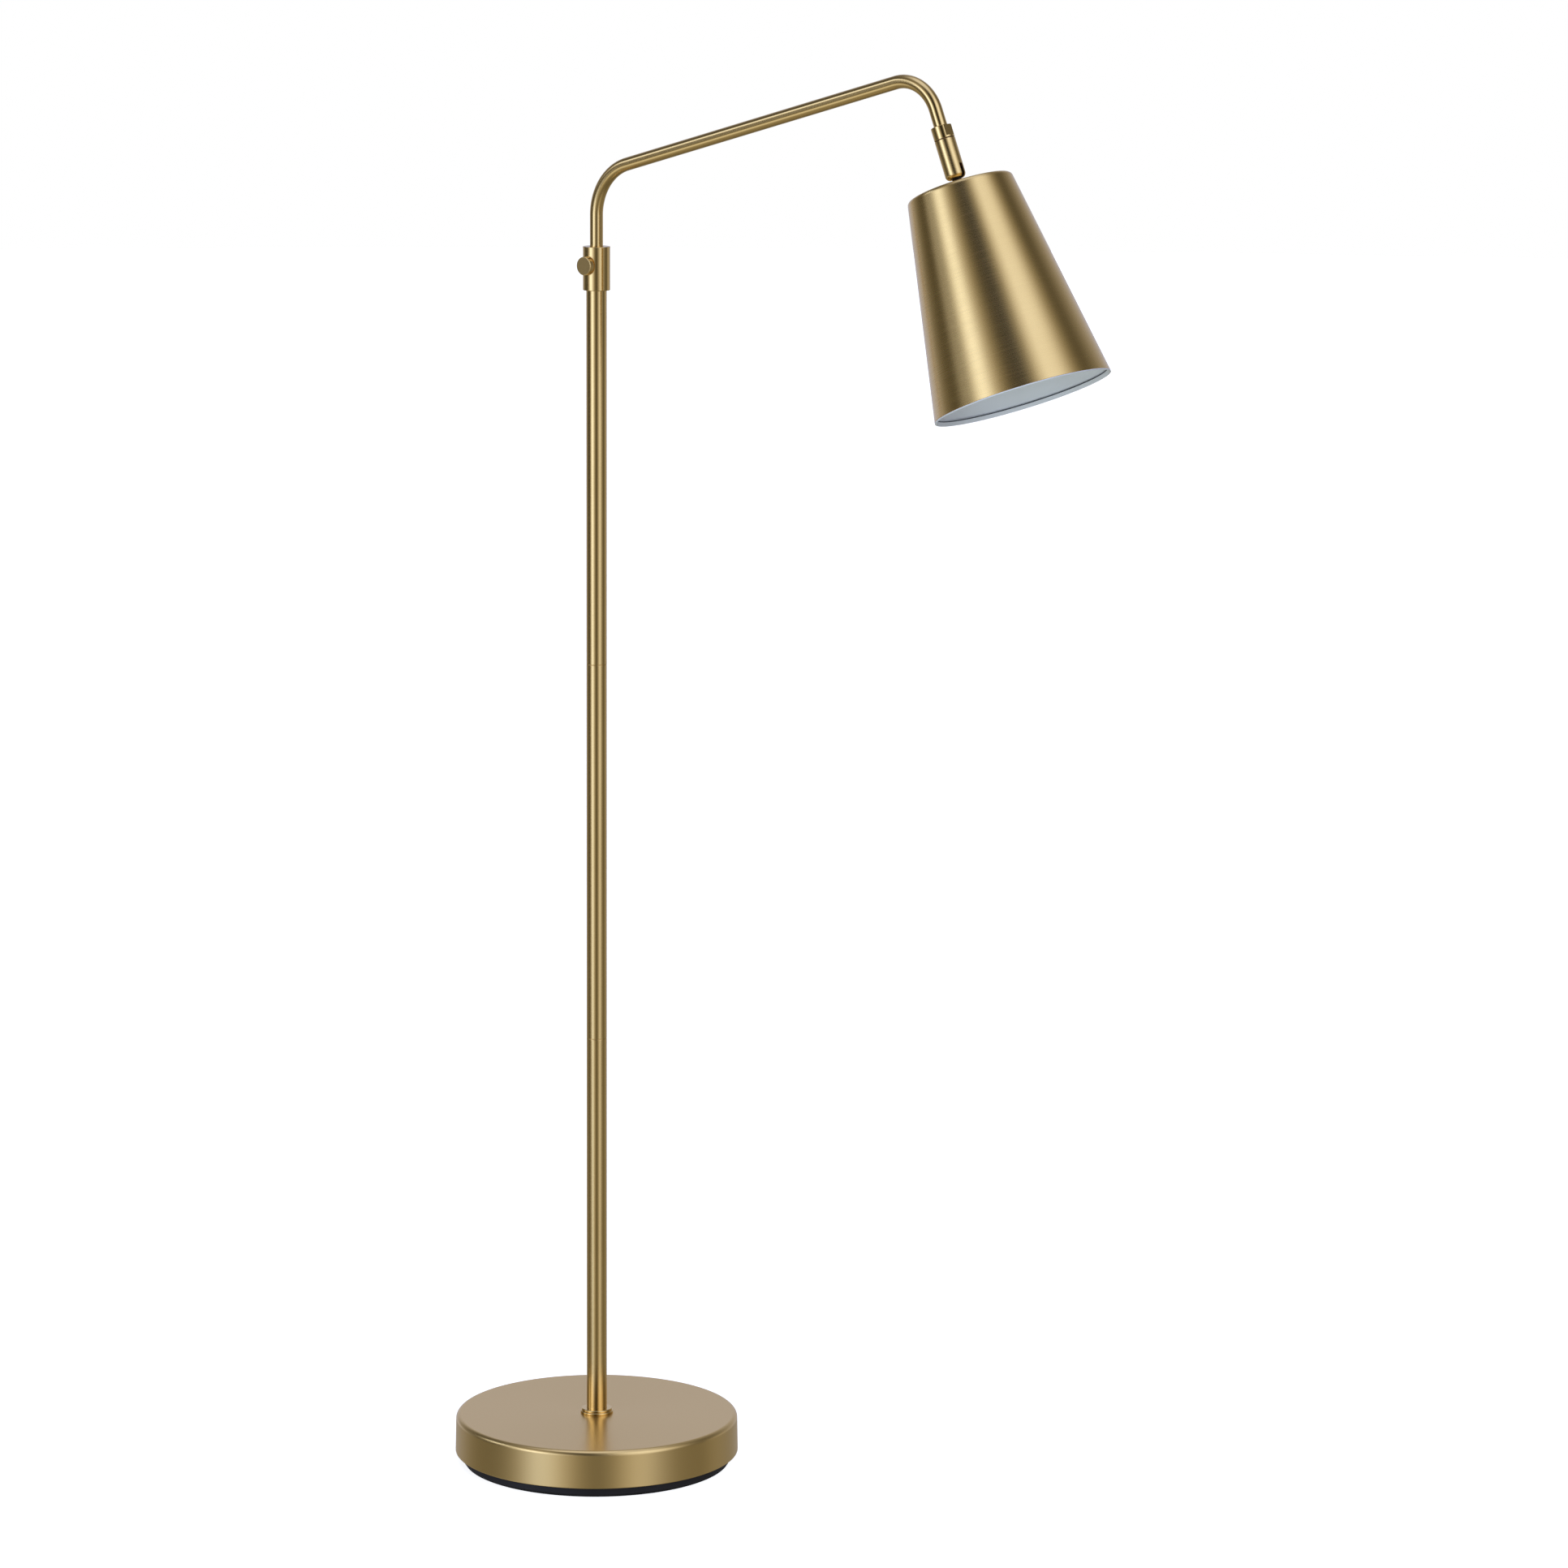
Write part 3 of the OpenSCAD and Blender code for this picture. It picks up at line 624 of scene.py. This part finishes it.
METAL = {"Metallic": 1.0}
# Marks that run round a piece spread its highlights lengthwise and keep them narrow crosswise.
BRUSHED_METAL = {"Metallic": 1.0, "Anisotropic": 0.9}
DULLED_METAL = {"Metallic": 1.0, "Anisotropic": 0.15}
# Spun brass, satin brushed round its axis and lacquered: soft wide highlights with no sharp mirror image.
# The brush marks are 0.3 mm apart in life; they are drawn 1.4 mm apart so that they show at all.
BRASS_LOOK = ("#EBC983", "#EFCD87")
satin_brass = finish(
    "Brass_spun_satin_lacquered", BRASS_LOOK, (0.05, 0.05, 0.0014), (0.25, 0.29), 8e-7, BRUSHED_METAL,
    patch=0.09, brushed=True)
# The base's cover, satin brushed and then dulled, so that its wide top is one soft even tone.
base_brass = finish(
    "Brass_spun_satin_base", BRASS_LOOK, (0.05, 0.05, 0.0014), (0.27, 0.31), 8e-7, DULLED_METAL,
    patch=0.12, brushed=True)
# The same brass on the pole's tubes, brushed finer, so that its highlights are tight bright lines.
brushed_brass = finish(
    "Brass_tube_brushed_lacquered", BRASS_LOOK, (0.02, 0.02, 0.0012), (0.16, 0.19), 6e-7, BRUSHED_METAL,
    patch=0.12, brushed=True)
# The bent arm, brushed a little coarser than the pole, so that its highlights are softer lines.
arm_brass = finish(
    "Brass_arm_brushed_lacquered", BRASS_LOOK, (0.02, 0.02, 0.0012), (0.17, 0.20), 6e-7, BRUSHED_METAL,
    patch=0.12, brushed=True)
# Polished brass of the pole's flange: near mirror, so that its rings draw as bright and dark lines.
polished_brass = finish(
    "Brass_polished_flange", BRASS_LOOK, (0.0012, 0.0012, 0.0012), (0.10, 0.14), 5e-7, METAL, patch=0.06)
# The knob's brass, turned and blasted: one even dull gold across its face.
knob_brass = finish(
    "Brass_turned_satin", BRASS_LOOK, (0.0006, 0.0006, 0.0006), (0.27, 0.32), 8e-7, METAL, patch=0.06)
# Small brass fittings turned and tumbled, with a fine even grain.
turned_brass = finish(
    "Brass_turned_fittings", BRASS_LOOK, (0.0012, 0.0012, 0.0012), (0.20, 0.27), 1.5e-6, METAL, patch=0.06)
# Bare rolled brass of the electrical contacts, slightly tarnished.
contact_brass = finish(
    "Brass_rolled_contact", ("#B8924E", "#D9B76E"), (0.002, 0.0006, 0.002), (0.25, 0.38), 2e-6, METAL,
    patch=0.006)
# Cast iron under a black textured powder coat: dark, dull, with the coat's 0.6 mm orange peel.
black_iron = finish(
    "Iron_cast_black_powder_coat", ("#1C1A1D", "#242226"), (0.0012, 0.0012, 0.0012), (0.48, 0.62), 3e-5,
    {"Specular IOR Level": 0.4}, patch=0.03)
# Closed-cell EVA foam of the floor pad: matt black with small pores.
eva_foam = finish(
    "Foam_EVA_black", ("#1B1B1C", "#252527"), (0.0009, 0.0009, 0.0009), (0.8, 0.95), 8e-5,
    {"Specular IOR Level": 0.3}, patch=0.02)
# Bright zinc plate on steel: a cool grey metal with a faint cloudy spangle.
zinc_steel = finish(
    "Steel_zinc_plated", ("#B9BEC4", "#D0D4D8"), (0.003, 0.003, 0.003), (0.28, 0.42), 3e-6, METAL,
    patch=0.008)
# Injection moulded nylon in black: a low sheen over a fine spark-eroded texture.
black_plastic = finish(
    "Nylon_moulded_black", ("#141415", "#1C1C1E"), (0.0005, 0.0005, 0.0005), (0.40, 0.55), 1.5e-5, {},
    patch=0.01)
# Painted shade: the shade's tongue is near-black dull steel, standing in for the shade inside the barrel's
# slot, so that the slot reads as a dark gap.
black_steel = finish(
    "Steel_near_black_painted_slot_shade", ("#0E0E0F", "#161617"), (0.001, 0.001, 0.001), (0.5, 0.62), 4e-6, {},
    patch=0.01)
# Natural nylon: a waxy off-white that lets a little light in.
white_nylon = finish(
    "Nylon_natural", ("#E9E7DF", "#F1EFE8"), (0.001, 0.001, 0.001), (0.42, 0.55), 8e-6,
    {"Subsurface Weight": 0.15, "Subsurface Scale": 0.002}, patch=0.01)
# Baked white enamel inside the shade: a clean cool white, half gloss, with a faint orange peel.
white_enamel = finish(
    "Enamel_baked_white", ("#F1F3F5", "#F6F8FA"), (0.0016, 0.0016, 0.0016), (0.34, 0.44), 6e-6, {},
    patch=0.05)
# Painted shade: a grey ring above the hem's free edge, drawn as a fine dark line in place of the shadow in
# the crevice between the hem and the wall.
painted_hem_shadow = finish(
    "Grey_painted_hem_shadow_line", ("#4A4E52", "#5C6064"), (0.001, 0.001, 0.001), (0.45, 0.6), 4e-6, {},
    patch=0.01)
# Glazed porcelain of the lamp holder: warm white under a wet gloss.
porcelain = finish(
    "Porcelain_glazed", ("#EFECE4", "#F5F3EC"), (0.002, 0.002, 0.002), (0.12, 0.2), 6e-6,
    {"Coat Weight": 0.6, "Coat Roughness": 0.05}, patch=0.015)
# Nickel-plated brass of the bulb's cap: a pale bright metal with drawn marks round it.
bulb_metal = finish(
    "Nickel_plated_cap", ("#C9C6BF", "#D9D6D0"), (0.003, 0.003, 0.001), (0.2, 0.32), 4e-6, METAL,
    patch=0.01)
# Opal glass of the bulb: milky white, lit through its skin, under a smooth gloss.
opal_glass = finish(
    "Glass_opal", ("#F3F2EE", "#F8F7F4"), (0.004, 0.004, 0.004), (0.18, 0.26), 2e-6,
    {"Subsurface Weight": 0.3, "Subsurface Scale": 0.004, "Coat Weight": 0.3}, patch=0.02)

BY_SLOT = {
    "satin_brass": turned_brass, "brushed_brass": turned_brass, "contact_brass": contact_brass,
    "black_iron": black_iron, "black_steel": black_steel, "zinc_steel": zinc_steel, "eva_pad": eva_foam,
    "black_plastic": black_plastic, "white_nylon": white_nylon, "white_enamel": white_enamel,
    "porcelain": porcelain, "bulb_metal": bulb_metal, "frosted_glass": opal_glass,
}
for node in nodes.values():
    for place in node.material_slots:
        place.material = BY_SLOT[place.material.name.split(".")[0]]

for piece, material in (
    (cover, base_brass), (knob, knob_brass), (skin, satin_brass),
    (flange, polished_brass), (lower, brushed_brass), (middle, brushed_brass), (upper, brushed_brass),
    (collar, brushed_brass), (arm, arm_brass), (nut, brushed_brass),
    (lining, white_enamel), (edge, painted_hem_shadow), (bulb, opal_glass),
):
    piece.data.materials.clear()
    piece.data.materials.append(material)

# ---------------------------------------------------------------- studio

# Brightness of the studio round the lamp, in rings at these heights above the horizon (degrees). Each
# ring lists (bearing from the camera in degrees, positive to its right; brightness). Two tall soft boxes
# stand to the left and right of the camera with a dark gap between, a narrow strip light hangs far to
# the left, and the room behind the lamp is a mid grey.
RINGS = {
    -60: [(-180, 0.14), (-90, 0.30), (0, 0.14), (180, 0.14)],
    -34: [(-180, 0.22), (-110, 0.26), (-90, 0.66), (-72, 0.92), (-52, 0.66), (-36, 0.42),
        (-15, 0.24), (8, 0.16), (40, 0.34), (70, 0.20), (180, 0.22)],
    -20: [(-180, 0.44), (-150, 0.26), (-120, 0.20), (-76, 0.18), (-64, 0.12), (-54, 0.08),
        (-44, 0.14), (-33, 0.34), (-22, 0.32), (-10, 0.24), (2, 0.19), (14, 0.23), (26, 0.35),
        (36, 0.46), (45, 0.28), (54, 0.17), (66, 0.19), (84, 0.23), (138, 0.20), (160, 0.28),
        (180, 0.44)],
    -5: [(-180, 0.58), (-144, 0.60), (-132, 0.48), (-120, 0.22), (-108, 0.10), (-94, 0.04),
        (-82, 0.04), (-74, 0.12), (-66, 0.36), (-58, 0.95), (-48, 2.00), (-38, 1.75), (-26, 0.82),
        (-14, 0.30), (-2, 0.07), (8, 0.11), (20, 0.44), (32, 0.92), (44, 1.08), (55, 0.64),
        (66, 0.24), (78, 0.12), (98, 0.10), (106, 0.34), (118, 0.44), (134, 0.42), (150, 0.50),
        (180, 0.58)],
    5: [(-180, 0.57), (-162, 0.57), (-144, 0.42), (-130, 0.25), (-112, 0.08), (-97, 0.05),
        (-88, 0.06), (-81, 0.08), (-74, 0.22), (-66, 0.86), (-58, 1.80), (-48, 2.05), (-38, 1.45),
        (-26, 0.64), (-13, 0.14), (0, 0.04), (12, 0.20), (26, 0.74), (40, 1.12), (54, 0.88),
        (67, 0.48), (79, 0.18), (96, 0.10), (106, 0.24), (118, 0.34), (134, 0.36), (150, 0.46),
        (180, 0.57)],
    15: [(-180, 0.56), (-162, 0.56), (-144, 0.24), (-112, 0.07), (-103, 0.30), (-95, 0.90),
        (-88, 0.60), (-82, 0.12), (-75, 0.22), (-66, 1.30), (-58, 2.25), (-49, 2.00), (-40, 1.00),
        (-28, 0.34), (-14, 0.04), (1, 0.01), (12, 0.15), (24, 0.66), (38, 1.16), (52, 1.10),
        (66, 0.70), (80, 0.24), (94, 0.10), (108, 0.14), (126, 0.26), (150, 0.42), (180, 0.56)],
    25: [(-180, 0.50), (-158, 0.40), (-140, 0.16), (-116, 0.06), (-107, 0.40), (-98, 1.70),
        (-87, 2.00), (-77, 1.10), (-67, 0.90), (-56, 0.95), (-46, 0.62), (-34, 0.24), (-20, 0.04),
        (-4, 0.00), (8, 0.10), (20, 0.70), (34, 1.24), (50, 1.20), (64, 0.86), (77, 0.40),
        (91, 0.13), (108, 0.11), (126, 0.20), (156, 0.40), (180, 0.50)],
    38: [(-180, 0.40), (-155, 0.12), (-105, 0.04), (-80, 0.10), (-60, 0.36), (-46, 0.36),
        (-34, 0.16), (-24, 0.05), (-12, 0.00), (-1, 0.01), (10, 0.24), (22, 0.93), (34, 1.30),
        (47, 1.28), (60, 1.08), (72, 0.66), (84, 0.30), (96, 0.12), (110, 0.08), (125, 0.14),
        (160, 0.30), (180, 0.40)],
    54: [(-180, 0.30), (-150, 0.10), (-60, 0.24), (-10, 0.02), (10, 0.20), (34, 1.00), (60, 0.90),
        (90, 0.25), (150, 0.20), (180, 0.30)],
    74: [(-180, 0.90), (180, 0.90)],
}
# Tint of the light at each brightness: dim light is warm, the soft boxes are cool.
TINT_AT = (0.0, 0.3, 0.6, 1.5)
TINTS = ((1.04, 1.0, 0.92), (1.02, 1.0, 1.0), (0.96, 1.0, 1.22), (0.84, 1.0, 1.52))
# Below this height the room is warmer, and above it, past this bearing, it is cooler behind the lamp.
LOW_BELOW = -10
LOW_TINT = (1.02, 1.0, 0.88)
BACK_FROM = 118
BACK_TINT = (0.97, 1.0, 1.12)
# Brightness that a ramp's full white stands for.
RAMP_TOP = 3.4


def stop_colour(height, bearing, light):
    """Colour of one stop of a ring: its brightness in the tint of that brightness and that place."""
    tint = np.array([np.interp(light, TINT_AT, channel) for channel in zip(*TINTS)])
    if height < LOW_BELOW:
        tint *= LOW_TINT
    elif abs(bearing) > BACK_FROM:
        tint *= BACK_TINT
    return (*(tint * light / RAMP_TOP).tolist(), 1.0)


def mixed(tree, share, first, second):
    """Blend of two colours, through the colour sockets of a Mix node."""
    node = add(tree, "ShaderNodeMix", data_type="RGBA")
    tree.links.new(share, node.inputs["Factor"])
    tree.links.new(first, next(s for s in node.inputs if s.name == "A" and s.type == "RGBA"))
    tree.links.new(second, next(s for s in node.inputs if s.name == "B" and s.type == "RGBA"))
    return next(s for s in node.outputs if s.type == "RGBA")


def studio_world():
    """The surroundings that the brass reflects: rings of brightness by bearing, blended by height.

    The bearing is atan2(right, front) and the height asin(up) of the direction looked in, turned to the
    camera's azimuth. The camera itself sees plain white.
    """
    world = bpy.data.worlds.new("studio")
    bpy.context.scene.world = world
    world.use_nodes = True
    tree = world.node_tree
    tree.nodes.clear()
    coords = add(tree, "ShaderNodeTexCoord")
    turned_to_view = add(tree, "ShaderNodeMapping", {
        "Vector": coords.outputs["Generated"], "Rotation": (0, 0, -VIEW_AZIMUTH)})
    parts = add(tree, "ShaderNodeSeparateXYZ", {"Vector": turned_to_view.outputs[0]})
    front = add(tree, "ShaderNodeMath", {0: parts.outputs[1], 1: -1.0}, operation="MULTIPLY")
    bearing = add(tree, "ShaderNodeMath", {0: parts.outputs[0], 1: front.outputs[0]}, operation="ARCTAN2")
    around = add(tree, "ShaderNodeMapRange", {
        "Value": bearing.outputs[0], "From Min": -math.pi, "From Max": math.pi})
    height = add(tree, "ShaderNodeMath", {0: parts.outputs[2]}, operation="ARCSINE")
    colour = None
    last = None
    for degrees, stops in RINGS.items():
        ring = add(tree, "ShaderNodeValToRGB", {"Fac": around.outputs[0]})
        elements = ring.color_ramp.elements
        for i, (at, light) in enumerate(stops):
            element = elements[i] if i < 2 else elements.new((at + 180) / 360)
            element.position = (at + 180) / 360
            element.color = stop_colour(degrees, at, light)
        if colour is None:
            colour = ring.outputs[0]
        else:
            low, high = math.radians(last), math.radians(degrees)
            share = add(
                tree, "ShaderNodeMapRange", {"Value": height.outputs[0], "From Min": low, "From Max": high},
                interpolation_type="SMOOTHSTEP")
            colour = mixed(tree, share.outputs[0], colour, ring.outputs[0])
        last = degrees
    room = add(tree, "ShaderNodeBackground", {"Color": colour, "Strength": RAMP_TOP})
    white = add(tree, "ShaderNodeBackground", {"Color": (1, 1, 1, 1), "Strength": 1.0})
    rays = add(tree, "ShaderNodeLightPath")
    seen = add(tree, "ShaderNodeMixShader", {
        0: rays.outputs["Is Camera Ray"], 1: room.outputs[0], 2: white.outputs[0]})
    add(tree, "ShaderNodeOutputWorld", {"Surface": seen.outputs[0]})


studio_world()


FLOOR_R = 14
FLOOR_RINGS = 12
FLOOR_AROUND = 64
FLOOR_DROP = 0.0003
FLOOR_GLOW = 0.86


def pale_floor():
    """A wide disc just under the lamp: rings of points whose radii grow by a constant factor."""
    radius = np.geomspace(0.05, FLOOR_R, FLOOR_RINGS)
    turn = np.linspace(0, 2 * np.pi, FLOOR_AROUND, endpoint=False)
    x, y = np.outer(radius, np.cos(turn)), np.outer(radius, np.sin(turn))
    points = np.stack([x, y, np.full_like(x, -FLOOR_DROP)], -1).reshape(-1, 3)
    index = np.arange(x.size).reshape(x.shape)
    a, b = index[:-1], index[1:]
    quads = np.stack([a, b, np.roll(b, -1, 1), np.roll(a, -1, 1)], -1).reshape(-1, 4)
    mesh = bpy.data.meshes.new("floor")
    mesh.from_pydata(points.tolist(), [], quads.tolist() + [index[0].tolist()])
    floor = bpy.data.objects.new("floor", mesh)
    bpy.context.scene.collection.objects.link(floor)
    material = bpy.data.materials.new("Paper_white")
    material.use_nodes = True
    tree = material.node_tree
    tree.nodes.clear()
    paper = add(tree, "ShaderNodeBsdfDiffuse", {"Color": (0.8, 0.8, 0.8, 1)})
    glow = add(tree, "ShaderNodeEmission", {"Color": (1, 1, 1, 1), "Strength": FLOOR_GLOW})
    both = add(tree, "ShaderNodeAddShader", {0: paper.outputs[0], 1: glow.outputs[0]})
    add(tree, "ShaderNodeOutputMaterial", {"Surface": both.outputs[0]})
    mesh.materials.append(material)
    floor.visible_glossy = False
    floor.visible_diffuse = False
    floor.visible_shadow = False


pale_floor()


FILL_FROM = Vector((0.85, -0.75, 0.45))
FILL_TO = Vector((0.46, 0, 1.08))
FILL_SIZE = 0.5
FILL_POWER = 2.7
FILL_COLOUR = (0.84, 1.0, 0.96)


def mouth_fill():
    """A soft cool panel below the shade, facing its mouth. The brass does not mirror it."""
    data = bpy.data.lights.new("mouth_fill", "AREA")
    data.shape = "DISK"
    data.size = FILL_SIZE
    data.energy = FILL_POWER
    data.color = FILL_COLOUR
    light = bpy.data.objects.new("mouth_fill", data)
    facing = (FILL_FROM - FILL_TO).to_track_quat("Z", "Y").to_matrix().to_4x4()
    light.matrix_world = Matrix.Translation(FILL_FROM) @ facing
    light.visible_glossy = False
    bpy.context.scene.collection.objects.link(light)


mouth_fill()
scene = bpy.context.scene
scene.view_settings.view_transform = "Standard"
scene.view_settings.look = "None"
